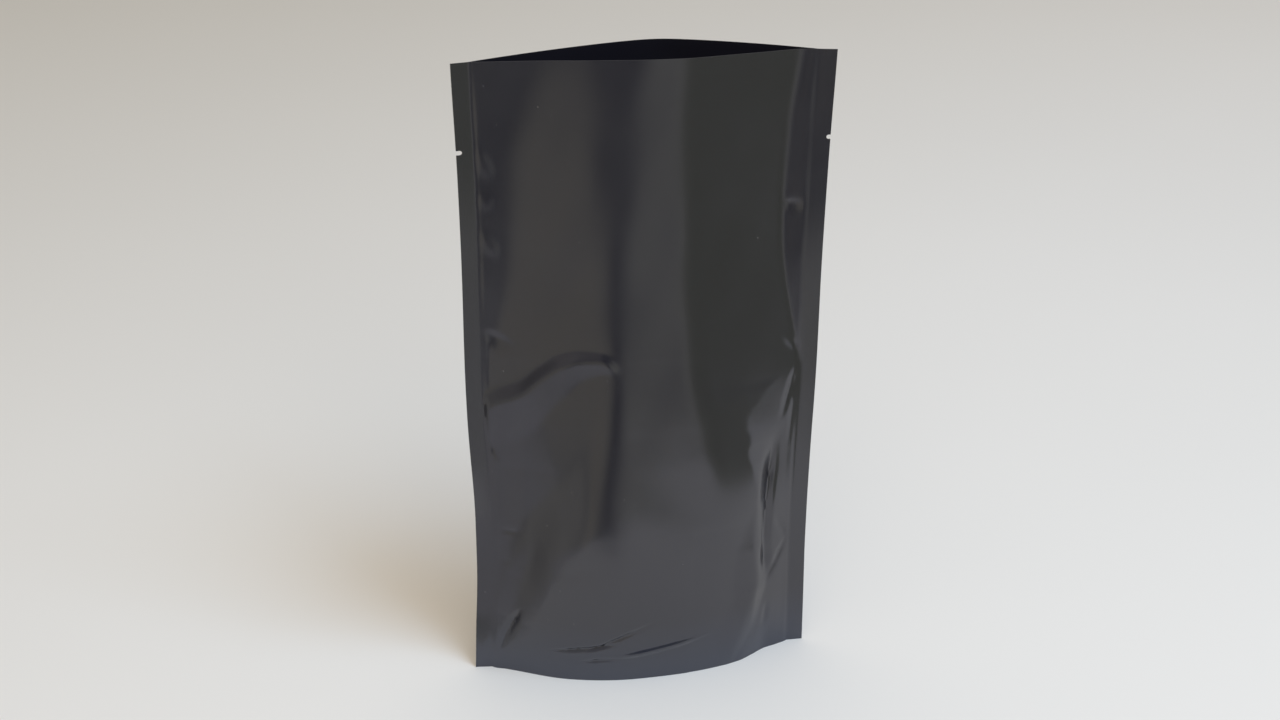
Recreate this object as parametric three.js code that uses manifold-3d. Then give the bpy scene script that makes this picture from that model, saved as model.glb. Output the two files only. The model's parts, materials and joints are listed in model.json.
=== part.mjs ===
// An empty stand-up pouch of black film, standing open on its gusset.
// One welded piece: a front panel, a back panel and a folded bottom gusset, with flat side seals.
// Millimetres, +Z up, front towards -Y, standing on Z = 0.

import * as THREE from 'three';
import { mergeVertices } from 'three/addons/utils/BufferGeometryUtils.js';
import Module from 'manifold-3d';

// Cut sizes of the film
const POUCH_WIDTH = 130; // flat width, cut edge to cut edge
const POUCH_HEIGHT = 229.5; // floor to mouth
const FILM = 0.3; // wall thickness of one layer
const SIDE_SEAL = 6; // flat welded strip down each side
const GUSSET_DEPTH = 35; // height of the folded gusset at the side seals
const BOTTOM_SEAL = 9; // weld of gusset to panel at mid width, which curves up to the side seals

// How far each panel bows out from the line between the side seals, as height and bow
const FRONT_BOW = [[0, 16.4], [45, 19.4], [82, 18], [POUCH_HEIGHT, 1.5]];
const BACK_BOW = [[0, 16.4], [45, 19.4], [190, 20], [POUCH_HEIGHT, 18]];

// The mouth, where the front panel has sprung flat and the back panel is folded along its middle
const MOUTH_FLANK = 3.2; // how far the front panel hollows beside each seal, at the rim
const MOUTH_FOLD = 0.65; // share of a straight-sided fold in the back panel's arch, at the rim
const MOUTH_SET_BACK = 1.2; // the inner line of the side seals lies this far back at the rim
const MOUTH_EDGE_LEAN = 1.6; // and the cut edge this far in front of that line
const MOUTH_START = 110; // height where the belly begins to turn into the mouth
const FOLD_ROUNDING = 0.12; // softness of a fold, as a share of the half width

// Two dents pressed into the front panel: middle, half sizes, depth, and lean of the long axis
const DENTS = [
  { x: -33, z: 97, halfWidth: 22, halfHeight: 30, depth: 4, lean: 0.35 },
  { x: 47, z: 76, halfWidth: 9, halfHeight: 40, depth: 3, lean: 0.05 },
];

const DENT_FADE = 0.2; // a dent dies out over this share of the half width, beside a seal

// Tear notches punched into the side seals
const NOTCH_BELOW_MOUTH = 30;
const NOTCH_HEIGHT = 1.6;
const NOTCH_DEPTHS = { left: 2, right: 1.4 };

// Steps of the faceted surfaces
const COLUMNS = 24; // across, between the side seals
const SEAL_ROWS = 5; // up the bottom seal
const DENTED_ZONE = [60, 140]; // heights with the finer rows
const ZONE_ROWS = [4, 16, 10]; // rows below, in and above that zone
const GUSSET_STEPS = 4; // from a panel to the gusset's ridge
const CUT_MARGIN = 5; // how far a cutter reaches past what it cuts

const wasm = await Module();
wasm.setup();

const { lerp, smoothstep } = THREE.MathUtils;
const square = (value) => value * value;

// Smooth curve through pairs of height and value
function alongHeight(pairs) {
  const heights = pairs.map(([height]) => height);
  const values = pairs.map(([, value]) => value);
  const curve = new THREE.CubicInterpolant(heights, values, 1);
  return (z) => curve.evaluate(THREE.MathUtils.clamp(z, 0, POUCH_HEIGHT))[0];
}

const frontBow = alongHeight(FRONT_BOW);
const backBow = alongHeight(BACK_BOW);
const towardsMouth = (z) => smoothstep(z, MOUTH_START, POUCH_HEIGHT);
const setBack = (z) => MOUTH_SET_BACK * towardsMouth(z);

// Film doesn't stretch, so the bows pull the seals together.
// An arc that rises by `bow` over `chord` is about chord + 8/3 bow^2 / chord long.
function seamX(z) {
  const arc = POUCH_WIDTH - 2 * SIDE_SEAL;
  const meanSquareBow = (square(frontBow(z)) + square(backBow(z))) / 2;
  const chord = (arc + Math.sqrt(square(arc) - (32 / 3) * meanSquareBow)) / 2;
  return chord / 2;
}

// A bowl with an elliptical rim
function dentDepth({ x, z, halfWidth, halfHeight, depth, lean }, atX, atZ) {
  const across = (atX - x - lean * (atZ - z)) / halfWidth;
  const up = (atZ - z) / halfHeight;
  const inside = Math.max(0, 1 - square(across) - square(up));
  return depth * inside * Math.sqrt(inside);
}

// Depth of each panel's inner face, for u from -1 to 1 between the side seals
function frontDepth(u, z) {
  const bow = frontBow(z) * (1 - square(u));
  const flank = MOUTH_FLANK * towardsMouth(z) * 4 * square(u) * (1 - square(u));
  const dents = DENTS.reduce((sum, dent) => sum + dentDepth(dent, u * seamX(z), z), 0);
  const free = smoothstep(1 - Math.abs(u), 0, DENT_FADE);
  return setBack(z) - bow + flank + free * dents;
}

function backDepth(u, z) {
  const arc = 1 - square(u);
  const rounded = (value) => Math.hypot(value, FOLD_ROUNDING) - FOLD_ROUNDING;
  const fold = 1 - rounded(u) / rounded(1);
  return setBack(z) + backBow(z) * lerp(arc, fold, MOUTH_FOLD * towardsMouth(z));
}

// A point on a panel's inner face, or `layer` thicknesses of film outside it.
// Past u = -1 and 1 it lies on the side seals, whose cut edges are at u = -2 and 2.
function panelPoint(depth, outward, u, z, layer) {
  const seam = seamX(z);
  const within = THREE.MathUtils.clamp(u, -1, 1);
  const beyond = u - within;
  const nudge = 0.01;
  const slope = (depth(within + nudge, z) - depth(within - nudge, z)) / (2 * nudge * seam);
  const thickness = beyond === 0 ? FILM * Math.hypot(1, slope) : FILM;
  const lean = MOUTH_EDGE_LEAN * towardsMouth(z) * Math.abs(beyond);
  const y = depth(within, z) - lean + outward * layer * thickness;
  return new THREE.Vector3(within * seam + beyond * SIDE_SEAL, y, z);
}

const frontPoint = (u, z, layer = 0) => panelPoint(frontDepth, -1, u, z, layer);
const backPoint = (u, z, layer = 0) => panelPoint(backDepth, 1, u, z, layer);

// Height of the weld between gusset and panels, an arc from one side seal to the other
function weldHeight(u) {
  return lerp(BOTTOM_SEAL, GUSSET_DEPTH, Math.min(1, square(u)));
}

// The gusset stands up inside as a ridge, because its film is longer than the gap it spans
const GUSSET_DROP = 1.6 * FILM; // its underside, measured straight down on its sloping sides

function gussetPoint(u, across, drop) {
  const z = weldHeight(u);
  const front = frontPoint(u, z);
  const back = backPoint(u, z);
  const halfGap = (back.y - front.y) / 2;
  const halfFilm = GUSSET_DEPTH - z;
  const rise = Math.sqrt(Math.max(0, square(halfFilm) - square(halfGap)));
  const rounded = (value) => Math.hypot(value, FOLD_ROUNDING) - FOLD_ROUNDING;
  const y = (front.y + back.y) / 2 + across * halfGap;
  return new THREE.Vector3(front.x, y, z - drop + rise * (1 - rounded(across) / rounded(1)));
}

const steps = (count) => Array.from({ length: count + 1 }, (_, index) => index / count);

// Heights of the rows at one place across the pouch, from the floor up
function sealRows(u) {
  return steps(SEAL_ROWS).map((share) => share * (weldHeight(u) - GUSSET_DROP));
}

function wallRows(u) {
  const bounds = [weldHeight(u), ...DENTED_ZONE, POUCH_HEIGHT];
  const rows = ZONE_ROWS.map((count, zone) =>
    steps(count).slice(0, count).map((share) => lerp(bounds[zone], bounds[zone + 1], share)));
  return [...rows.flat(), POUCH_HEIGHT];
}

// Closes a row of sections into one solid. Each section has as many front points as back points.
function solidFromSections(sections) {
  const loops = sections.map(({ front, back }) => [...front, ...back.toReversed()]);
  const ring = loops[0].length;
  const triangles = [];
  const quad = (a, b, c, d) => triangles.push(a, b, c, a, c, d);
  for (let station = 0; station + 1 < loops.length; station += 1) {
    const start = station * ring;
    for (let index = 0; index < ring; index += 1) {
      const next = (index + 1) % ring;
      quad(start + index, start + next, start + ring + next, start + ring + index);
    }
  }
  const last = (loops.length - 1) * ring;
  for (let index = 0; index + 1 < ring / 2; index += 1) {
    const opposite = ring - 1 - index;
    quad(index, opposite, opposite - 1, index + 1);
    quad(last + index, last + index + 1, last + opposite - 1, last + opposite);
  }
  const geometry = new THREE.BufferGeometry().setFromPoints(loops.flat());
  geometry.setIndex(triangles);
  return toSolid(geometry);
}

// A closed geometry as a solid, without the triangles that shrink to a line where points meet
function toSolid(geometry) {
  geometry.deleteAttribute('normal');
  geometry.deleteAttribute('uv');
  const merged = mergeVertices(geometry, 1e-4);
  const corners = merged.index.array;
  const kept = [];
  for (let first = 0; first < corners.length; first += 3) {
    const [a, b, c] = corners.slice(first, first + 3);
    if (a !== b && b !== c && c !== a) kept.push(a, b, c);
  }
  const vertProperties = new Float32Array(merged.attributes.position.array);
  const triVerts = new Uint32Array(kept);
  return new wasm.Manifold(new wasm.Mesh({ numProp: 3, vertProperties, triVerts }));
}

// Stations across the pouch: between the side seals, and out to the cut edges
const inner = steps(COLUMNS).map((share) => lerp(-1, 1, share));
const whole = [-2, ...inner, 2];

// The pouch as one filled body, out to the faces of the film
const body = solidFromSections(whole.map((u) => {
  const rows = [...sealRows(u), ...wallRows(u)].toReversed();
  return { front: rows.map((z) => frontPoint(u, z, 1)), back: rows.map((z) => backPoint(u, z, 1)) };
}));

// The space inside, from above the mouth down to the gusset
const inside = solidFromSections(inner.map((u) => {
  const rows = wallRows(u).toReversed();
  const side = (point, sign) => [
    point(u, POUCH_HEIGHT).setZ(POUCH_HEIGHT + CUT_MARGIN),
    ...rows.map((z) => point(u, z)),
    ...steps(GUSSET_STEPS).slice(1).map((share) => gussetPoint(u, sign * (1 - share), 0)),
  ];
  return { front: side(frontPoint, -1), back: side(backPoint, 1) };
}));

// The space under the gusset, open to the floor
const underside = solidFromSections(inner.map((u) => {
  const rows = sealRows(u).toReversed();
  const side = (point, sign) => [
    ...steps(GUSSET_STEPS).slice(0, -1).map((share) => gussetPoint(u, sign * share, GUSSET_DROP)),
    ...rows.map((z) => point(u, z)),
    point(u, 0).setZ(-CUT_MARGIN),
  ];
  return { front: side(frontPoint, -1), back: side(backPoint, 1) };
}));

// A slot with a round end, pointing in from the cut edge
function notch(side, depth) {
  const radius = NOTCH_HEIGHT / 2;
  const z = POUCH_HEIGHT - NOTCH_BELOW_MOUTH;
  const edge = frontPoint(2 * side, z);
  const outline = new THREE.Shape();
  outline.moveTo(CUT_MARGIN, radius);
  outline.lineTo(radius - depth, radius);
  outline.absarc(radius - depth, 0, radius, Math.PI / 2, 1.5 * Math.PI);
  outline.lineTo(CUT_MARGIN, -radius);
  const geometry = new THREE.ExtrudeGeometry(outline, {
    depth: 2 * CUT_MARGIN,
    bevelEnabled: false,
    curveSegments: 8,
  });
  geometry.rotateX(Math.PI / 2);
  if (side < 0) geometry.rotateZ(Math.PI);
  geometry.translate(edge.x, edge.y + side * CUT_MARGIN, z);
  return toSolid(geometry);
}

const film = body
  .subtract(inside)
  .subtract(underside)
  .subtract(notch(-1, NOTCH_DEPTHS.left))
  .subtract(notch(1, NOTCH_DEPTHS.right));

const { vertProperties, triVerts } = film.getMesh();
const geometry = new THREE.BufferGeometry();
geometry.setAttribute('position', new THREE.BufferAttribute(vertProperties, 3));
geometry.setIndex(new THREE.BufferAttribute(triVerts, 1));
geometry.computeVertexNormals();
geometry.computeBoundingBox();

const pouch = new THREE.Mesh(
  geometry,
  new THREE.MeshStandardMaterial({ color: 0x1c1c1f, roughness: 0.35, metalness: 0 }),
);
pouch.name = 'pouch';

// The origin is on the floor, under the middle of the bounding box
const middle = geometry.boundingBox.getCenter(new THREE.Vector3());
const model = new THREE.Group();
model.position.set(-middle.x, -middle.y, 0);
model.add(pouch);

export default model;
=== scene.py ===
import json
import math

import bpy
import numpy as np
from mathutils import Matrix, Vector

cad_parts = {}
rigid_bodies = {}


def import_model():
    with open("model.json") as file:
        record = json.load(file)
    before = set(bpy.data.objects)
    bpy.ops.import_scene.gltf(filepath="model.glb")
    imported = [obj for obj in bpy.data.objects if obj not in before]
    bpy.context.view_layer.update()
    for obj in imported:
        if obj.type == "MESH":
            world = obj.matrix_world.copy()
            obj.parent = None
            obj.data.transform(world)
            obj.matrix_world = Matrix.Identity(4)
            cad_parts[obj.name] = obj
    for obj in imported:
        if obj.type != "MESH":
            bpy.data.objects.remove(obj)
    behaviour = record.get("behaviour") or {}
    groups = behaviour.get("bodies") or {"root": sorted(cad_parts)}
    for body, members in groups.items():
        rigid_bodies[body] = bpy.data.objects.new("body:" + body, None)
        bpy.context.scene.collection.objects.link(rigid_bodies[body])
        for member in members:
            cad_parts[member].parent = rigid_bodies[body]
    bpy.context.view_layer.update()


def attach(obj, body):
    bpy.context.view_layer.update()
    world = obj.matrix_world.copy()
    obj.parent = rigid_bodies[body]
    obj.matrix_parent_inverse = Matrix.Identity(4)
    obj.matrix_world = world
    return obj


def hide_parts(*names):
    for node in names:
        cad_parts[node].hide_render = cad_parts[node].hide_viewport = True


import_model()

# Front panel: one cut of black film, 130 mm wide, that bows out between its side seals.
# Upright folds run down from the mouth, and handling has dented it on the left and at the right seal.
# It starts as a flat blank and is formed in millimetres, with x across, y to the back and z up.
MILLIMETRE = 0.001
POUCH_HEIGHT = 229.5
PANEL_BETWEEN_SEALS = 118.0
SIDE_SEAL = 6.0
HALF_WIDTH = 63.0
FILM = 0.3
WELD_OVERLAP = 0.1
CENTRE_SHIFT = -0.791
FRONT_COLUMNS = 132
FRONT_ROWS = 246

ARC_EXTRA = 8.0 / 3.0
MOUTH_STARTS = 110.0
MOUTH_SET_BACK = 1.2
BELLY_PEAK = -9.0
BELLY_POWER = 2.0
BELLY_LEFT_EXTRA = 0.6
DENT_TOP = 117.0
DENT_STARTS = 15.0
DENT_ROUNDING = 0.25
LEFT_PINNED = 1.8
RIGHT_PINNED = 3.0
SEAL_LEAN = 1.1
LEFT_SEAL_LEAN = 0.4
LEFT_SEAL_TURN = 3.0


def soft_step(start, end, at):
    # Goes smoothly from 0 at start to 1 at end
    share = np.clip((at - start) / (end - start), 0.0, 1.0)
    return share * share * (3.0 - 2.0 * share)


def curve_through(at, places, values):
    # A smooth curve through the values that never swings past them
    places = np.array(places, dtype=float)
    values = np.array(values, dtype=float)
    gaps = np.diff(places)
    rises = np.diff(values) / gaps
    slopes = np.zeros_like(values)
    slopes[0] = rises[0]
    slopes[-1] = rises[-1]
    for knot in range(1, len(values) - 1):
        before = rises[knot - 1]
        after = rises[knot]
        if before * after > 0.0:
            slopes[knot] = 2.0 * before * after / (before + after)
    at = np.clip(at, places[0], places[-1])
    span = np.clip(np.searchsorted(places, at, side="right") - 1, 0, len(places) - 2)
    gap = gaps[span]
    t = (at - places[span]) / gap
    low = (1.0 + 2.0 * t) * (1.0 - t) ** 2 * values[span] + t * (1.0 - t) ** 2 * gap * slopes[span]
    high = t * t * (3.0 - 2.0 * t) * values[span + 1] + t * t * (t - 1.0) * gap * slopes[span + 1]
    return low + high


def front_bow(z):
    heights = [0, 45, 60, 75, 90, 105, 120, 135, 150, POUCH_HEIGHT]
    return curve_through(z, heights, [16.4, 19.4, 19.1, 18.1, 16.4, 14.0, 11.6, 9.8, 8.5, 1.5])


def back_bow(z):
    return curve_through(z, [0, 45, 126, 190, POUCH_HEIGHT], [16.4, 19.4, 19.8, 20.0, 18.0])


def seam_x(z):
    # Film doesn't stretch, so the more the panels bow, the closer the side seals come.
    # A shallow arc is longer than its chord by ARC_EXTRA times its bow squared over the chord.
    bow_squared = (front_bow(z) ** 2 + back_bow(z) ** 2) / 2.0
    root = np.sqrt(PANEL_BETWEEN_SEALS ** 2 - 4.0 * ARC_EXTRA * bow_squared)
    chord = (PANEL_BETWEEN_SEALS + root) / 2.0
    return chord / 2.0


def seam_y(z):
    # Towards the mouth the seams stand a little further back
    return MOUTH_SET_BACK * soft_step(MOUTH_STARTS, POUCH_HEIGHT, z)


def further_back(one, other, softness):
    # The further back of two depths, rounded where they cross
    return 0.5 * (one + other + np.sqrt((one - other) ** 2 + softness ** 2))


def further_front(one, other, softness):
    return 0.5 * (one + other - np.sqrt((one - other) ** 2 + softness ** 2))


def turn(x, place, half_width, amount):
    # A bend line: the slope changes by `amount` over twice the half width
    offset = (x - place) / half_width
    turned = np.clip((offset + 1.0) / 2.0, 0.0, 1.0)
    return amount * half_width * np.where(offset >= 1.0, offset, 2.0 * turned ** 3 - turned ** 4)


def belly(x, z):
    # Round film, furthest out a little left of the middle and squarer on that side
    peak = BELLY_PEAK * soft_step(6.0, 45.0, z)
    seam = seam_x(z)
    share = np.where(x > peak, (x - peak) / (seam - peak), (peak - x) / (seam + peak))
    left_power = BELLY_POWER + BELLY_LEFT_EXTRA * soft_step(44.0, 62.0, z)
    return -front_bow(z) * (1.0 - share ** np.where(x > peak, BELLY_POWER, left_power))


def dent_edge(z):
    heights = [60, 70, 82, 85, 88, 91, 94, 97, 100, 103, 105.5, 108, 111, 114, DENT_TOP]
    places = [41.5, 40, 37.5, 36.3, 35.8, 36.8, 36.6, 35.2, 35.2, 36.6, 39.5, 42, 45.5, 50.5, 55]
    return curve_through(z, heights, places)


def folded_mouth(x, z):
    # Flat strips of film that meet in upright folds, from the left seam to the right one.
    # The right flank takes back the depth that the other strips have run to.
    flank_heights = [60, 100, 126, 150, POUCH_HEIGHT]
    strip_heights = [60, 85, 100, 126, 150, 181, 204, POUCH_HEIGHT]
    strip_slopes = [-0.47, -0.405, -0.345, -0.235, -0.20, -0.185, -0.172, -0.16]
    half_heights = [124, 135, 150, 180, 200, POUCH_HEIGHT]
    soft_heights = [60, 90, 112, 124, 150, POUCH_HEIGHT]
    fold_heights = [DENT_TOP, 126, 138, 150, 165, 181, 204, POUCH_HEIGHT]
    fold_places = [55.0, 53.6, 51.4, 49.4, 47.8, 47.4, 48.2, 51.0]
    middle_softness = 6.0
    mouth_flank_fall = 0.15
    least_flank_width = 1.0
    lowest_slope = -0.5
    highest_slope = 0.9
    left_closing = 12
    right_closing = 5

    seam = seam_x(z)
    left_flank = curve_through(z, flank_heights, [-0.30, -0.18, -0.08, -0.06, -0.06])
    left_strip = curve_through(z, strip_heights, strip_slopes)
    left_bend = curve_through(z, [126, 150, 190, 204, POUCH_HEIGHT], [-52, -47.3, -43.5, -41, -30])
    left_softness = curve_through(z, [126, 150, 190, POUCH_HEIGHT], [2, 4, 6, 12])
    ridge = curve_through(z, [60, 90, 126, 200, POUCH_HEIGHT], [-19.5, -16.2, -11.8, -11.8, -8.5])
    ridge_half = curve_through(z, half_heights, [0.0, 1.8, 2.8, 4.2, 6.2, 8.4])
    ridge_softness = curve_through(z, soft_heights, [15.0, 11.0, 7.0, 5.0, 7.0, 7.0])
    middle_bend = curve_through(z, flank_heights, [26, 20.5, 16, 15, 13])
    fold_bend = curve_through(z, fold_heights, fold_places)
    right_bend = np.where(z < DENT_TOP, dent_edge(z), fold_bend)
    right_softness = curve_through(z, [112, 120, 160, POUCH_HEIGHT], [0.6, 1.0, 2.0, 4.0])
    run = left_flank * (left_bend + seam) + left_strip * (ridge - left_bend)
    low_strip = curve_through(z, [60, 85, 100, 111, 120], [0.33, 0.31, 0.302, 0.298, 0.29])
    high_strip = -(run - mouth_flank_fall * (seam - fold_bend)) / (fold_bend - middle_bend)
    right_strip = low_strip + (high_strip - low_strip) * soft_step(108, 120, z)
    run = run + right_strip * (right_bend - middle_bend)
    right_flank = -run / np.maximum(seam - right_bend, least_flank_width)
    right_flank = np.clip(right_flank, lowest_slope, highest_slope)

    def strips(at):
        depth = left_flank * (at + seam)
        depth = depth + turn(at, left_bend, left_softness, left_strip - left_flank)
        depth = depth + turn(at, ridge - ridge_half, ridge_softness, -0.5 * left_strip)
        depth = depth + turn(at, ridge + ridge_half, ridge_softness, -0.5 * left_strip)
        depth = depth + turn(at, middle_bend, middle_softness, right_strip)
        return depth + turn(at, right_bend, right_softness, right_flank - right_strip)

    share = (x + seam) / (2.0 * seam)
    depth = seam_y(z) + strips(x) - strips(-seam) * (1.0 - share) ** left_closing
    return depth - strips(seam) * share ** right_closing


def mouth_into_belly(x, z):
    # The strips run out in the round belly, lowest beside the left seal
    places = [-56, -50, -44, -36, -28, -20, -14, 0, 30, 56]
    line = curve_through(x, places, [30, 34, 44, 56, 68, 80, 82, 78, 68, 76])
    reach = curve_through(x, [-56, -30, 10], [20, 19, 21])
    low = belly(x, z)
    return low + (folded_mouth(x, z) - low) * soft_step(-1.0, 1.0, (z - line) / reach)


def left_fold(x, z):
    # A fold that rises from the left seal to the ridge and fades out there,
    # with a short steep face above and a long one below
    seal_end = -56.0
    length = 45.0
    line_shares = [0.0, 0.1, 0.28, 0.43, 0.58, 0.73, 0.88, 1.0, 1.1]
    line_heights = [111.5, 114.3, 117.6, 123.3, 127.6, 129.2, 128.8, 126.0, 124.0]
    face_shares = [0.0, 0.36, 0.58, 0.75, 1.0]
    steep_face = 5.6
    steep_lost = 2.8
    crest_rounding = 0.15
    foot_rounding = 0.12

    share = np.clip((x - seal_end) / length, line_shares[0], line_shares[-1])
    below = curve_through(share, line_shares, line_heights) - z
    rise = steep_face - steep_lost * share
    fall = curve_through(share, face_shares, [16.0, 17.0, 13.0, 7.5, 3.2])
    height = curve_through(share, face_shares, [1.6, 2.1, 2.0, 1.3, 0.6])
    height = height * soft_step(-9.5, -14.0, x)
    face = further_front(below / rise, 1.0 - (below - rise) / fall, crest_rounding)
    return height * further_back(face, 0.0, foot_rounding)


def right_dent(x, z):
    # A facet that drops from the edge to a valley beside the seal
    seal_slope = 0.40
    least_width = 1.0
    valley_rounding = 0.5
    valley_heights = [60, 80, 95, 105, 112, DENT_TOP]
    edge = dent_edge(z)
    valley = curve_through(z, valley_heights, [45.5, 46.5, 49.0, 51.5, 54.0, 55.3])
    seam = seam_x(z)
    edge_depth = mouth_into_belly(edge, z)
    valley_depth = seal_slope * (valley - seam)
    facet_width = np.maximum(valley - edge, least_width)
    facet = edge_depth + (valley_depth - edge_depth) * (x - edge) / facet_width
    dent = further_front(facet, seal_slope * (x - seam), valley_rounding)
    plain = mouth_into_belly(x, z)
    return plain + (dent - plain) * soft_step(58.0, 82.0, z)


def crease(x, z, start, end, depth, left_width, right_width):
    # One short crease with two flat sides, pressed in where depth is above 0, which tapers at both ends.
    # Left and right are as seen on the way from its start to its end.
    taper_share = 0.35
    end_width = 0.4
    line_rounding = 0.15
    side_rounding = 0.1
    along_x = end[0] - start[0]
    along_z = end[1] - start[1]
    length = math.hypot(along_x, along_z)
    along = ((x - start[0]) * along_x + (z - start[1]) * along_z) / length ** 2
    aside = ((z - start[1]) * along_x - (x - start[0]) * along_z) / length
    taper = np.clip(np.minimum(along, 1.0 - along) / taper_share, 0.0, 1.0)
    width = np.where(aside > 0.0, left_width, right_width) * (end_width + (1.0 - end_width) * taper)
    side = further_back(1.0 - np.hypot(aside / width, line_rounding), 0.0, side_rounding)
    return depth * taper * side


def right_groove(x, z):
    # A sharp groove below the facet, with a wide left wall and a narrow right one
    press = 2.15
    left_wall = 4.2
    right_wall = 2.7
    rounding = 0.02
    valley = curve_through(z, [30, 40, 50, 62, 75, 92], [45.4, 43.9, 43.3, 43.8, 44.8, 46.6])
    aside = x - valley
    wall = np.where(aside < 0.0, 1.0 + aside / left_wall, 1.0 - aside / right_wall)
    groove = 0.5 * (wall + np.sqrt(wall ** 2 + rounding))
    depth = press * groove * soft_step(30, 42, z) * soft_step(93, 74, z)
    return depth * soft_step(12.0, 6.0, np.abs(aside))


# Each crease: its start and end (x, z), how far it is pressed in, and the widths of its two sides
FRONT_CREASES = [
    ((-42, 112), (-42, 30), 1.5, 10.0, 9.0),
    ((-39, 58), (-54, 2), 1.4, 8.0, 6.0),
    ((-55.5, 136.0), (-44.5, 129.5), 0.4, 2.0, 4.0),
    ((-53.6, 136), (-53.6, 108), 0.2, 1.0, 1.0),
    ((-54.8, 100.0), (-51.0, 85.0), 0.5, 0.9, 1.3),
    ((-54, 58.5), (-43, 57.0), 0.15, 1.0, 1.0),
    ((-52.5, 46.0), (-48, 44.8), 0.15, 0.9, 0.9),
    ((-45.0, 28.0), (-53.0, 8.0), 1.3, 2.0, 1.7),
    ((-38, 11.4), (-9, 16.2), 0.9, 0.9, 1.9),
    ((-24, 11.8), (2, 25.6), 0.9, 0.9, 1.9),
    ((-18, 9.0), (24, 16.4), -0.9, 1.2, 1.4),
    ((-27, 7.8), (-7, 10.4), 0.7, 0.9, 1.6),
    ((43.0, 66), (38.6, 10), -2.0, 4.6, 9.0),
    ((40.5, 33), (30.0, -2), -0.9, 4.4, 8.0),
    ((47, 58), (54, 44), 0.6, 1.5, 1.8),
    ((53.5, 48), (44.5, 30), 0.7, 1.5, 1.8),
    ((45.5, 23), (45.0, 10), 0.5, 1.4, 1.4),
    ((55.5, 119), (48.5, 96), 1.0, 2.6, 1.6),
    ((55.5, 118), (52.0, 84), 0.8, 2.2, 1.4),
    ((47.5, 175.9), (55.5, 175), 0.4, 2.2, 2.2),
    ((56.5, 120.5), (49, 128), 0.35, 2.0, 2.0),
    ((-57, 202), (-50.5, 189), -0.25, 3.4, 4.4),
    ((-57, 183.5), (-50, 181), -0.2, 3.0, 3.6),
    ((-56.5, 173), (-49.5, 162), -0.25, 3.4, 3.4),
]


def spread_foot(x, z):
    # Where the pouch stands, the film spreads further to the front, but draws back beside the right seal
    places = [-54, -44, -30, -8, 6, 26, 35, 41, 46, 50, 54]
    spread = curve_through(x, places, [0.0, 0.4, 1.2, 0.5, 0.0, 0.8, 0.9, -0.2, -1.2, -0.6, 0.0])
    return -spread * soft_step(22.0, 0.0, z)


def film_waves(x, z):
    # Slight unevenness of film that has been rolled and handled
    crossed = 0.05 * np.sin(0.17 * x + 0.05 * z + 1.0) * np.sin(0.07 * z - 0.04 * x)
    steep = 0.035 * np.sin(0.29 * x - 0.12 * z + 2.0)
    flat = 0.03 * np.sin(0.11 * x + 0.21 * z + 4.0)
    return crossed + steep + flat


def front_depth(x, z):
    # The folds and creases fade out where the seams pin the film
    plain = mouth_into_belly(x, z)
    depth = plain - left_fold(x, z)
    dented = further_back(depth, right_dent(x, z), DENT_ROUNDING)
    depth = np.where(x > DENT_STARTS, dented, depth)
    for start, end, press, left_width, right_width in FRONT_CREASES:
        depth = depth + crease(x, z, start, end, press, left_width, right_width)
    depth = depth + right_groove(x, z) + spread_foot(x, z) + film_waves(x, z)
    pinned = np.where(x < 0.0, LEFT_PINNED, RIGHT_PINNED)
    return plain + (depth - plain) * soft_step(0.0, 1.0, (seam_x(z) - np.abs(x)) / pinned)


def film_blank(name, columns, rows):
    # A flat blank, and where its points lie: from -1 to 1 across it and from 0 to 1 up it
    bpy.ops.object.select_all(action="DESELECT")
    bpy.ops.mesh.primitive_grid_add(x_subdivisions=columns, y_subdivisions=rows, size=1.0)
    blank = bpy.context.object
    blank.name = name
    blank.data.name = name
    places = np.zeros(3 * len(blank.data.vertices))
    blank.data.vertices.foreach_get("co", places)
    across = 2.0 * places[0::3]
    up = places[1::3] + 0.5
    return blank, across, up


def sideways(x, z):
    # Film that has been handled hangs a little to one side, so neither side seal is quite straight
    left = curve_through(z, [0, 35, 60, 100, 165, POUCH_HEIGHT], [0.6, 1.2, 1.1, 0.2, 0.9, 0.2])
    right = curve_through(z, [0, 38, 97, 156, POUCH_HEIGHT], [0.4, 1.0, 0.6, -0.25, 0.4])
    share = np.clip((x + HALF_WIDTH) / (2.0 * HALF_WIDTH), 0.0, 1.0)
    return left + (right - left) * share


def corner_curl(x, z):
    # The lower left corner is curled a little to the front
    return curve_through(x, [-61, -55, -50.5, -46], [0.35, 1.2, 0.3, 0.0]) * soft_step(25.0, 0.0, z)


def form_blank(blank, x, y, z):
    # The shift puts the middle of the pouch's depth on the origin
    y = y + CENTRE_SHIFT - corner_curl(x, z)
    places = np.column_stack((x + sideways(x, z), y, z)) * MILLIMETRE
    blank.data.vertices.foreach_set("co", places.ravel())
    blank.data.update()


def panel_places(depth_at, across, height, outward):
    # The side seals lie flat past the seams, where each film is pressed into the other.
    # They lean to the front at the mouth, and the left one turns back low down.
    half = PANEL_BETWEEN_SEALS / 2.0
    flat = across * (half + SIDE_SEAL)
    within = np.clip(flat, -half, half)
    beyond = flat - within
    x = within / half * seam_x(height)
    lean = SEAL_LEAN * soft_step(MOUTH_STARTS, POUCH_HEIGHT, height)
    turned_back = LEFT_SEAL_TURN * soft_step(85, 45, height) * soft_step(0, 22, height)
    left_lean = np.maximum(lean, LEFT_SEAL_LEAN) - turned_back
    lean = np.where(beyond < 0.0, left_lean, lean) * np.abs(beyond) / SIDE_SEAL
    pressed = WELD_OVERLAP * soft_step(half - 1.0, half, np.abs(flat))
    y = depth_at(x, height) - lean - outward * pressed
    return x + beyond, y


def pick(piece):
    bpy.ops.object.select_all(action="DESELECT")
    piece.select_set(True)
    bpy.context.view_layer.objects.active = piece


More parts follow.
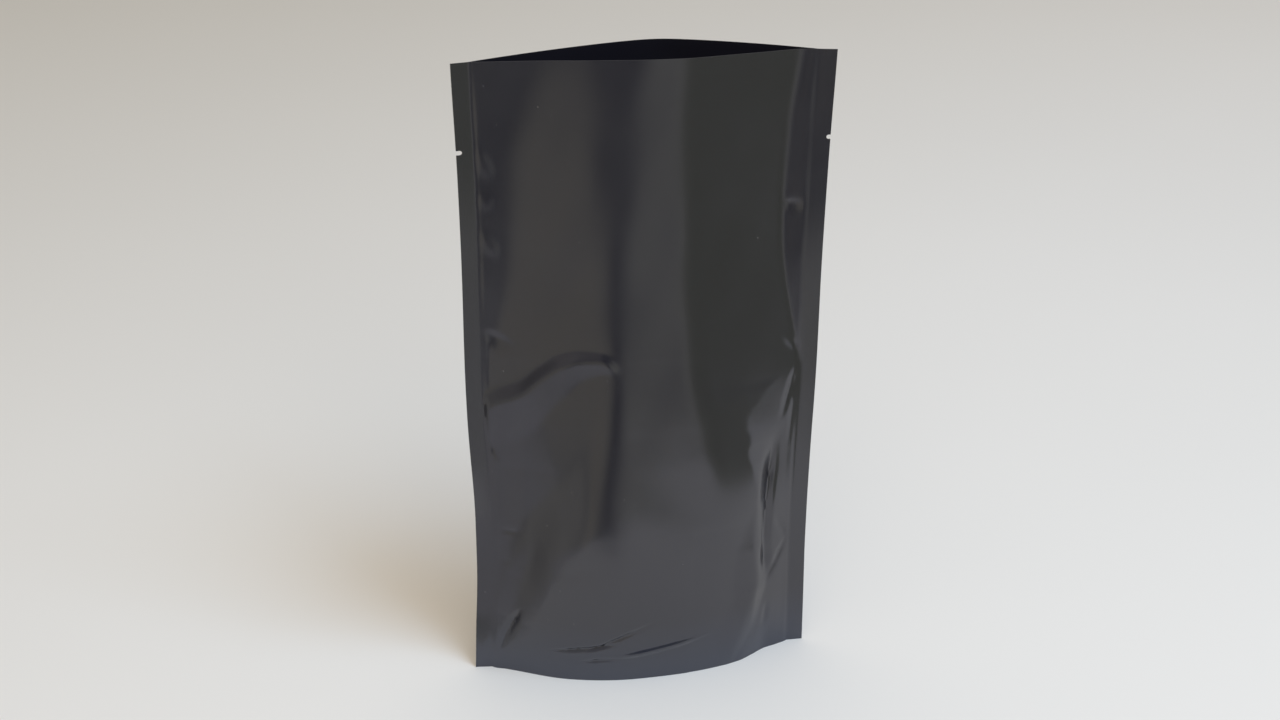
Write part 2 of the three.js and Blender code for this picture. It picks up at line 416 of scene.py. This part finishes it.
def thicken(blank, thickness, outward=1.0):
    pick(blank)
    wall = blank.modifiers.new("film thickness", "SOLIDIFY")
    wall.thickness = thickness * MILLIMETRE
    wall.offset = outward
    bpy.ops.object.modifier_apply(modifier=wall.name)


front_panel, across, up = film_blank("front_panel", FRONT_COLUMNS, FRONT_ROWS)
# Columns lie closer towards both seals, and rows towards the foot, where the creases are finest
across = np.interp(across, [-1.0, -0.046, 0.446, 1.0], [-1.0, -0.154, 0.508, 1.0])
height = np.interp(up, [0.0, 0.22, 0.73, 1.0], [0.0, 28.0, 138.0, POUCH_HEIGHT])
x, y = panel_places(front_depth, across, height, -1.0)
form_blank(front_panel, x, y, height)
thicken(front_panel, FILM)

# Back panel: the same cut of film, bowed the other way.
# At the mouth it stands open in one soft upright fold, a little to the right of the middle.
# Shallow folds run down from the mouth and in from the side seals.
BACK_COLUMNS = 84
BACK_ROWS = 146
BACK_TRIM = 0.9995
BACK_BELOW_RIM = 0.03
BACK_FOLD_PLACE = 0.1
BACK_FOLD_SHARE = 0.65
BACK_WAVES = 2.0
FOLD_ROUNDING = 0.12
BACK_CREASES = [
    ((-36, 226), (-27, 112), 1.6, 10.0, 8.0),
    ((32, 226), (24, 130), 1.3, 9.0, 9.0),
    ((57, 126), (20, 92), 1.6, 6.0, 8.0),
    ((-57, 112), (-20, 84), 1.6, 7.0, 6.0),
    ((-44, 66), (-50, 6), 1.5, 7.0, 6.0),
    ((43, 70), (49, 8), 1.5, 6.0, 7.0),
    ((-24, 11), (18, 16), 0.9, 4.0, 4.0),
]


def rounded_fold(aside):
    # A fold with straight sides and a rounded top: 1 on its line, and 0 where aside is 1
    fall = np.hypot(aside, FOLD_ROUNDING) - FOLD_ROUNDING
    return 1.0 - fall / (math.hypot(1.0, FOLD_ROUNDING) - FOLD_ROUNDING)


def back_depth(x, z):
    mouth = soft_step(MOUTH_STARTS, POUCH_HEIGHT, z)
    share = x / seam_x(z)
    peak = BACK_FOLD_PLACE * mouth
    aside = np.where(share > peak, (share - peak) / (1.0 - peak), (share - peak) / (1.0 + peak))
    arc = 1.0 - aside ** 2
    fold = rounded_fold(aside)
    relief = BACK_WAVES * film_waves(-x, z)
    for start, end, press, left_width, right_width in BACK_CREASES:
        relief = relief - crease(x, z, start, end, press, left_width, right_width)
    relief = relief * soft_step(0.0, 6.0, seam_x(z) - np.abs(x)) * soft_step(0.0, 8.0, z)
    relief = relief * soft_step(POUCH_HEIGHT, POUCH_HEIGHT - 10.0, z)
    return seam_y(z) + back_bow(z) * (arc + (fold - arc) * BACK_FOLD_SHARE * mouth) + relief


back_panel, across, up = film_blank("back_panel", BACK_COLUMNS, BACK_ROWS)
# A hair lower and narrower than the front panel, so that no two edges coincide in the weld
height = up * (POUCH_HEIGHT - BACK_BELOW_RIM)
x, y = panel_places(back_depth, across * BACK_TRIM, height, 1.0)
form_blank(back_panel, x, y, height)
bpy.ops.object.mode_set(mode="EDIT")
bpy.ops.mesh.select_all(action="SELECT")
bpy.ops.mesh.flip_normals()
bpy.ops.object.mode_set(mode="OBJECT")
thicken(back_panel, FILM)

# Bottom gusset: a strip of the same film, folded once and welded inside both panels.
# Its weld is an arc, 9 mm up in the middle and 35 mm up at the side seals.
# The rest of the strip stands up inside the pouch, with its fold on top.
GUSSET_DEPTH = 35.0
BOTTOM_SEAL = 9.0
GUSSET_FILM = 0.25
GUSSET_OVERLAP = 0.12
GUSSET_LIFT = 0.05
GUSSET_WIDTH = 0.985
GUSSET_COLUMNS = 58
GUSSET_ROWS = 40

gusset, across, up = film_blank("gusset", GUSSET_COLUMNS, GUSSET_ROWS)
share = across * GUSSET_WIDTH
weld = BOTTOM_SEAL + (GUSSET_DEPTH - BOTTOM_SEAL) * share ** 2
# Rows count from 0 at the fold over 1 at the top of the weld to 2 at the foot, on both sides
row = np.abs(2.0 * up - 1.0) * 2.0
seal_row = np.clip(row - 1.0, 0.0, 1.0)
fold_row = np.clip(row, 0.0, 1.0)
side = np.sign(2.0 * up - 1.0)
height = np.where(row > 1.0, weld + (GUSSET_LIFT - weld) * seal_row, weld)
x = share * seam_x(height)
front = front_depth(x, height) - GUSSET_OVERLAP
back = back_depth(x, height) + GUSSET_OVERLAP
half_gap = (back - front) / 2.0
half_film = GUSSET_DEPTH - weld
ridge_height = np.sqrt(np.maximum(half_film ** 2 - half_gap ** 2, 0.0))
height = np.where(row > 1.0, height, weld + ridge_height * rounded_fold(fold_row))
y = (front + back) / 2.0 + side * fold_row * half_gap
form_blank(gusset, x, y, height)
thicken(gusset, GUSSET_FILM, -1.0)

# Welding: heated bars press the three films together along the side seals and the bottom arc.
# The plastic melts into one there, so the pouch is a single closed piece of film from here on.
DEGENERATE_EDGE = 1e-6


def combine(piece, other, operation):
    pick(piece)
    step = piece.modifiers.new(operation.lower(), "BOOLEAN")
    step.operation = operation
    step.solver = "MANIFOLD"
    step.object = other
    bpy.ops.object.modifier_apply(modifier=step.name)
    bpy.data.objects.remove(other)


pouch = front_panel
pouch.name = "pouch_film"
pouch.data.name = "pouch_film"
for film in (back_panel, gusset):
    combine(pouch, film, "UNION")
bpy.ops.object.mode_set(mode="EDIT")
bpy.ops.mesh.select_all(action="SELECT")
bpy.ops.mesh.dissolve_degenerate(threshold=DEGENERATE_EDGE)
bpy.ops.mesh.select_all(action="DESELECT")
bpy.ops.object.mode_set(mode="OBJECT")
# Pinholes of trapped air inside the weld are pressed shut: only the film joined to the mouth is kept
highest = max(pouch.data.vertices, key=lambda vertex: vertex.co.z)
highest.select = True
bpy.ops.object.mode_set(mode="EDIT")
bpy.ops.mesh.select_linked()
bpy.ops.mesh.select_all(action="INVERT")
bpy.ops.mesh.delete(type="VERT")
bpy.ops.object.mode_set(mode="OBJECT")

# Tear notches: short slots with round ends, for tearing the top off by hand.
# They are punched through both side seals 30 mm below the mouth, the left one a little deeper.
NOTCH_BELOW_MOUTH = 30.0
NOTCH_HEIGHT = 1.6
LEFT_NOTCH_DEPTH = 2.0
RIGHT_NOTCH_DEPTH = 1.4
PUNCH_SIDES = 24
PUNCH_LENGTH = 20.0
PUNCH_REACH = 5.0
PUNCH_MIDDLE = 1e-6

punch_radius = NOTCH_HEIGHT / 2.0
notch_z = POUCH_HEIGHT - NOTCH_BELOW_MOUTH
edge_x = float(seam_x(np.array([notch_z]))[0]) + SIDE_SEAL
for side, depth in ((-1.0, LEFT_NOTCH_DEPTH), (1.0, RIGHT_NOTCH_DEPTH)):
    bpy.ops.object.select_all(action="DESELECT")
    bpy.ops.mesh.primitive_cylinder_add(
        vertices=PUNCH_SIDES, radius=punch_radius * MILLIMETRE, depth=PUNCH_LENGTH * MILLIMETRE)
    punch = bpy.context.object
    bpy.ops.object.mode_set(mode="EDIT")
    bpy.ops.mesh.select_all(action="SELECT")
    bpy.ops.transform.rotate(value=math.pi / 2.0, orient_axis="X", center_override=(0.0, 0.0, 0.0))
    bpy.ops.object.mode_set(mode="OBJECT")
    edge_shift = float(sideways(np.array([side * edge_x]), np.array([notch_z]))[0])
    round_end = side * (edge_x - depth + punch_radius) + edge_shift
    for vertex in punch.data.vertices:
        reach = PUNCH_REACH if vertex.co.x * side > PUNCH_MIDDLE else 0.0
        vertex.co.x += (round_end + side * reach) * MILLIMETRE
        vertex.co.z += notch_z * MILLIMETRE
    combine(pouch, punch, "DIFFERENCE")

# Film finish: black laminated plastic with a satin skin and a fine ripple from the rollers.
# Handling has left the gloss a little uneven and some dust on it.
# Towards the foot the black is painted paler and cooler, a painted reflection of the pale floor.
SMOOTH_UP_TO = math.radians(50.0)
FILM_BLACK = (0.0112, 0.0110, 0.0165)
FILM_PALER_BLACK = (0.0137, 0.0134, 0.0195)
# Painted reflection of the pale floor, laid on the black near the foot
FILM_FOOT_PAINTED_REFLECTION = (0.0205, 0.0265, 0.0450)
FILM_DUST = (0.16, 0.155, 0.15)
PAINTED_REFLECTION_FADES_OUT = 0.024
PAINTED_REFLECTION_FADES_IN = 0.003


def texture_place(tree, kind):
    return tree.nodes.new("ShaderNodeTexCoord").outputs[kind]


def split_up(tree, place):
    parts = tree.nodes.new("ShaderNodeSeparateXYZ")
    tree.links.new(place, parts.inputs["Vector"])
    return parts.outputs


def grain_at(tree, place, scale, detail):
    grain = tree.nodes.new("ShaderNodeTexNoise")
    grain.inputs["Scale"].default_value = scale
    grain.inputs["Detail"].default_value = detail
    tree.links.new(place, grain.inputs["Vector"])
    return grain.outputs["Fac"]


def share_between(tree, value, start, end, low=0.0, high=1.0):
    # Goes from low where the value is at start to high where it is at end, and no further
    step = tree.nodes.new("ShaderNodeMapRange")
    step.inputs["From Min"].default_value = start
    step.inputs["From Max"].default_value = end
    step.inputs["To Min"].default_value = low
    step.inputs["To Max"].default_value = high
    tree.links.new(value, step.inputs["Value"])
    return step.outputs["Result"]


def worked_out(tree, operation, one, other):
    # The other value is a plain number or comes from a node
    step = tree.nodes.new("ShaderNodeMath")
    step.operation = operation
    tree.links.new(one, step.inputs[0])
    if isinstance(other, float):
        step.inputs[1].default_value = other
    else:
        tree.links.new(other, step.inputs[1])
    return step.outputs["Value"]


def mixed_colour(tree, share, one, other):
    # Each colour is three plain numbers or comes from a node
    mix = tree.nodes.new("ShaderNodeMix")
    mix.data_type = "RGBA"
    tree.links.new(share, mix.inputs["Factor"])
    for socket, colour in (("A", one), ("B", other)):
        if isinstance(colour, tuple):
            mix.inputs[socket].default_value = (*colour, 1.0)
        else:
            tree.links.new(colour, mix.inputs[socket])
    return mix.outputs["Result"]


pick(pouch)
bpy.ops.object.shade_smooth_by_angle(angle=SMOOTH_UP_TO)

film_finish = bpy.data.materials.new("black_film")
film_finish.use_nodes = True
film_tree = film_finish.node_tree
skin = film_tree.nodes["Principled BSDF"]
skin.inputs["IOR"].default_value = 1.82
skin.inputs["Specular Tint"].default_value = (0.97, 0.96, 1.0, 1.0)
film_place = texture_place(film_tree, "Object")
smudge = grain_at(film_tree, film_place, scale=28.0, detail=5.0)
gloss = share_between(film_tree, smudge, 0.3, 0.7, low=0.20, high=0.27)
film_tree.links.new(gloss, skin.inputs["Roughness"])

tint = mixed_colour(film_tree, smudge, FILM_BLACK, FILM_PALER_BLACK)
film_height = split_up(film_tree, film_place)["Z"]
# Painted reflection: the film is painted paler and bluer at the foot, fading out 24 mm up, standing in
# for the floor it mirrors.
painted_reflection_share = share_between(film_tree, film_height, PAINTED_REFLECTION_FADES_OUT, PAINTED_REFLECTION_FADES_IN)
painted_reflection_mixed = mixed_colour(film_tree, painted_reflection_share, tint, FILM_FOOT_PAINTED_REFLECTION)
dust = film_tree.nodes.new("ShaderNodeTexVoronoi")
dust.inputs["Scale"].default_value = 230.0
film_tree.links.new(film_place, dust.inputs["Vector"])
speck = share_between(film_tree, dust.outputs["Distance"], 0.06, 0.03)
chosen = film_tree.nodes.new("ShaderNodeSeparateColor")
film_tree.links.new(dust.outputs["Color"], chosen.inputs["Color"])
few = share_between(film_tree, chosen.outputs["Red"], 0.72, 1.0)
dusty = worked_out(film_tree, "MULTIPLY", speck, few)
dusted = mixed_colour(film_tree, dusty, painted_reflection_mixed, FILM_DUST)
film_tree.links.new(dusted, skin.inputs["Base Color"])

peel = grain_at(film_tree, film_place, scale=320.0, detail=3.0)
ripple = film_tree.nodes.new("ShaderNodeBump")
ripple.inputs["Strength"].default_value = 0.22
ripple.inputs["Distance"].default_value = 0.00002
film_tree.links.new(peel, ripple.inputs["Height"])
film_tree.links.new(ripple.outputs["Normal"], skin.inputs["Normal"])

pouch.data.materials.clear()
pouch.data.materials.append(film_finish)
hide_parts("pouch")
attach(pouch, "root")

# Paper floor: pale matt paper, with painted shade that makes it a little darker and warmer towards the
# back left.
# It is one flat floor in two sheets that share an edge. The film mirrors only the back sheet,
# and over the front one it mirrors the dim room instead.
PAPER_TONE = (0.795, 0.787, 0.77)
PAPER_PALER_TONE = (0.825, 0.817, 0.80)
# Painted shade, where the light falls off towards the back left
PAPER_PAINTED_SHADE_TONE = (0.63, 0.615, 0.57)
PAPER_REACH = 12.0
FLOOR_SHEETS = [("paper_floor", PAPER_REACH, True), ("room_floor", -13.0, False)]
PAPER_EDGE = [
    (-PAPER_REACH, 3.0),
    (-0.10, 0.10),
    (-0.072, 0.0),
    (-0.072, -0.035),
    (-0.088, -0.065),
    (-0.08, -0.095),
    (-0.04, -0.13),
    (0.0, -0.13),
    (0.015, -0.25),
    (0.055, -0.30),
    (0.062, -0.34),
    (0.105, -0.34),
    (0.112, -0.25),
    (0.114, -0.17),
    (0.11, -0.14),
    (0.125, -0.11),
    (0.15, -0.095),
    (0.23, -0.11),
    (0.33, -0.20),
    (0.7, -0.6),
    (PAPER_REACH, -10.5),
]

paper = bpy.data.materials.new("pale_paper")
paper.use_nodes = True
paper_tree = paper.node_tree
face = paper_tree.nodes["Principled BSDF"]
face.inputs["Roughness"].default_value = 0.9
face.inputs["Specular IOR Level"].default_value = 0.1
paper_place = texture_place(paper_tree, "Object")
fibre = grain_at(paper_tree, paper_place, scale=3.0, detail=2.0)
tone = mixed_colour(paper_tree, fibre, PAPER_TONE, PAPER_PALER_TONE)
spot = split_up(paper_tree, paper_place)
# Painted shade: the paper is painted darker and warmer towards the back left, where the lights fall off
# with distance.
painted_shade_reach = worked_out(paper_tree, "SUBTRACT", spot["Y"], spot["X"])
painted_shade_share = share_between(paper_tree, painted_shade_reach, 0.1, 1.9)
painted_shade_colour = mixed_colour(paper_tree, painted_shade_share, tone, PAPER_PAINTED_SHADE_TONE)
paper_tree.links.new(painted_shade_colour, face.inputs["Base Color"])

for name, far_y, mirrored in FLOOR_SHEETS:
    outline = [(x, y, 0.0) for x, y in PAPER_EDGE]
    outline = outline + [(PAPER_REACH, far_y, 0.0), (-PAPER_REACH, far_y, 0.0)]
    sheet = bpy.data.meshes.new(name)
    sheet.from_pydata(outline, [], [list(range(len(outline)))])
    sheet.materials.append(paper)
    floor = bpy.data.objects.new(name, sheet)
    floor.visible_glossy = mirrored
    bpy.context.collection.objects.link(floor)

# Room: dim and uneven in front, with plain walls at the sides and behind and a warm ceiling.
# The film mirrors its strips of tone, which are given by their bearing in degrees,
# from -90 at the left over 0 straight in front to 90 at the right. The camera sees a plain backdrop.
RIGHT_WALL = (0.24, 0.24, 0.24)
LEFT_WALL = (0.25, 0.235, 0.22)
CEILING = (0.94, 0.82, 0.66)
BACKDROP = (0.38, 0.35, 0.30)
LOW_ROOM_TONES = [
    (-90, (0.10, 0.10, 0.10)),
    (-84, (0.45, 0.44, 0.40)),
    (-62, (0.57, 0.56, 0.51)),
    (-50, (0.54, 0.53, 0.47)),
    (-39, (0.39, 0.385, 0.35)),
    (-33, (0.46, 0.455, 0.40)),
    (-27, (0.53, 0.505, 0.42)),
    (-18, (0.55, 0.51, 0.41)),
    (-10, (0.52, 0.51, 0.43)),
    (-5, (0.055, 0.055, 0.065)),
    (1, (0.055, 0.055, 0.065)),
    (4, (0.16, 0.16, 0.165)),
    (9, (0.66, 0.66, 0.59)),
    (15, (0.66, 0.66, 0.59)),
    (17, (0.275, 0.285, 0.195)),
    (58, (0.275, 0.285, 0.205)),
    (75, (0.5, 0.5, 0.48)),
    (90, (0.55, 0.55, 0.54)),
]
NEAR_FLOOR_TONES = [
    (-90, (0.10, 0.10, 0.10)),
    (-84, (0.45, 0.45, 0.44)),
    (-70, (0.50, 0.50, 0.49)),
    (-50, (0.61, 0.61, 0.65)),
    (-10, (0.63, 0.63, 0.66)),
    (12, (0.55, 0.55, 0.55)),
    (25, (0.275, 0.285, 0.205)),
    (58, (0.275, 0.285, 0.205)),
    (75, (0.5, 0.5, 0.48)),
    (90, (0.55, 0.55, 0.54)),
]
HIGH_ROOM_TONES = [
    (-90, (0.14, 0.13, 0.12)),
    (-55, (0.20, 0.19, 0.17)),
    (-40, (0.37, 0.35, 0.32)),
    (-15, (0.37, 0.35, 0.32)),
    (-5, (0.05, 0.05, 0.06)),
    (6, (0.05, 0.05, 0.06)),
    (12, (0.13, 0.13, 0.12)),
    (60, (0.12, 0.12, 0.11)),
    (90, (0.55, 0.55, 0.54)),
]
FARTHEST_BEARING = 90.0


def strips_of_tone(tree, bearing_share, tones):
    room = tree.nodes.new("ShaderNodeValToRGB")
    tree.links.new(bearing_share, room.inputs["Fac"])
    stops = room.color_ramp.elements
    stops[0].position = 0.0
    stops[-1].position = 1.0
    for degrees, _ in tones[1:-1]:
        stops.new((degrees + FARTHEST_BEARING) / (2.0 * FARTHEST_BEARING))
    for stop, (_, colour) in zip(stops, tones):
        stop.color = (*colour, 1.0)
    return room.outputs["Color"]


world = bpy.data.worlds.new("studio")
bpy.context.scene.world = world
world.use_nodes = True
room_tree = world.node_tree
way = split_up(room_tree, texture_place(room_tree, "Generated"))
front_way = worked_out(room_tree, "MULTIPLY", way["Y"], -1.0)
bearing = worked_out(room_tree, "ARCTAN2", way["X"], front_way)
farthest = math.radians(FARTHEST_BEARING)
bearing_share = share_between(room_tree, bearing, -farthest, farthest)
low_room = strips_of_tone(room_tree, bearing_share, LOW_ROOM_TONES)
near_floor = strips_of_tone(room_tree, bearing_share, NEAR_FLOOR_TONES)
high_room = strips_of_tone(room_tree, bearing_share, HIGH_ROOM_TONES)

floor_level = share_between(room_tree, way["Z"], -0.40, -0.48)
below = mixed_colour(room_tree, floor_level, low_room, near_floor)
leftness = share_between(room_tree, way["X"], 0.4, -0.4)
side_walls = mixed_colour(room_tree, leftness, RIGHT_WALL, LEFT_WALL)
frontness = share_between(room_tree, front_way, -0.1, 0.6)
walls = mixed_colour(room_tree, frontness, side_walls, high_room)
wall_level = share_between(room_tree, way["Z"], -0.01, 0.10)
sides = mixed_colour(room_tree, wall_level, below, walls)
ceiling_level = share_between(room_tree, way["Z"], 0.60, 0.85)
whole_room = mixed_colour(room_tree, ceiling_level, sides, CEILING)
seen_by = room_tree.nodes.new("ShaderNodeLightPath")
seen_room = mixed_colour(room_tree, seen_by.outputs["Is Camera Ray"], whole_room, BACKDROP)
room_tree.links.new(seen_room, room_tree.nodes["Background"].inputs["Color"])

# Lights: a bluish window high on the front right, a warm lamp in front and a small sparkle light.
# Only the sparkle light is mirrored in the film. The other two just light the film and the paper.
POUCH_MIDDLE = (0.0, 0.0, 0.1)
POUCH_FOOT = (0.0, 0.0, 0.0)


def area_light(name, shape, size, power, colour, place, aim, mirrored):
    light = bpy.data.lights.new(name, "AREA")
    light.shape = shape
    light.size = size[0]
    light.size_y = size[1]
    light.energy = power
    light.color = colour
    stand = bpy.data.objects.new(name, light)
    stand.visible_glossy = mirrored
    bpy.context.collection.objects.link(stand)
    stand.location = place
    stand.rotation_euler = (Vector(aim) - Vector(place)).to_track_quat("-Z", "Y").to_euler()


area_light(
    "window", shape="RECTANGLE", size=(0.9, 0.9), power=20.0, colour=(0.52, 0.73, 1.0),
    place=(0.69, -0.69, 1.69), aim=POUCH_MIDDLE, mirrored=False)
area_light(
    "lamp", shape="RECTANGLE", size=(1.2, 0.8), power=4.0, colour=(1.0, 0.86, 0.69),
    place=(0.05, -0.9, 1.0), aim=POUCH_FOOT, mirrored=False)
area_light(
    "sparkle", shape="DISK", size=(0.5, 0.5), power=1.0, colour=(1.0, 1.0, 1.0),
    place=(0.2, -1.2, 1.1), aim=POUCH_MIDDLE, mirrored=True)

# Camera: stands where the photo was taken from, 0.6 m in front and a little to the left.
# It looks down at the pouch, and its own axes give the angle.
CAMERA_PLACE = (-0.098042, -0.585581, 0.407556)
CAMERA_RIGHT = Vector((0.9871752, -0.1593607, 0.0094497))
CAMERA_UP = Vector((0.0609220, 0.4307790, 0.9003988))

camera = bpy.data.cameras.new("camera")
camera.lens = 53.5
camera.sensor_width = 36.0
camera.clip_start = 0.01
camera_stand = bpy.data.objects.new("camera", camera)
bpy.context.collection.objects.link(camera_stand)
turned = Matrix((CAMERA_RIGHT, CAMERA_UP, CAMERA_RIGHT.cross(CAMERA_UP))).transposed().to_4x4()
camera_stand.matrix_world = Matrix.Translation(CAMERA_PLACE) @ turned
bpy.context.scene.camera = camera_stand
bpy.context.scene.view_settings.view_transform = "Standard"
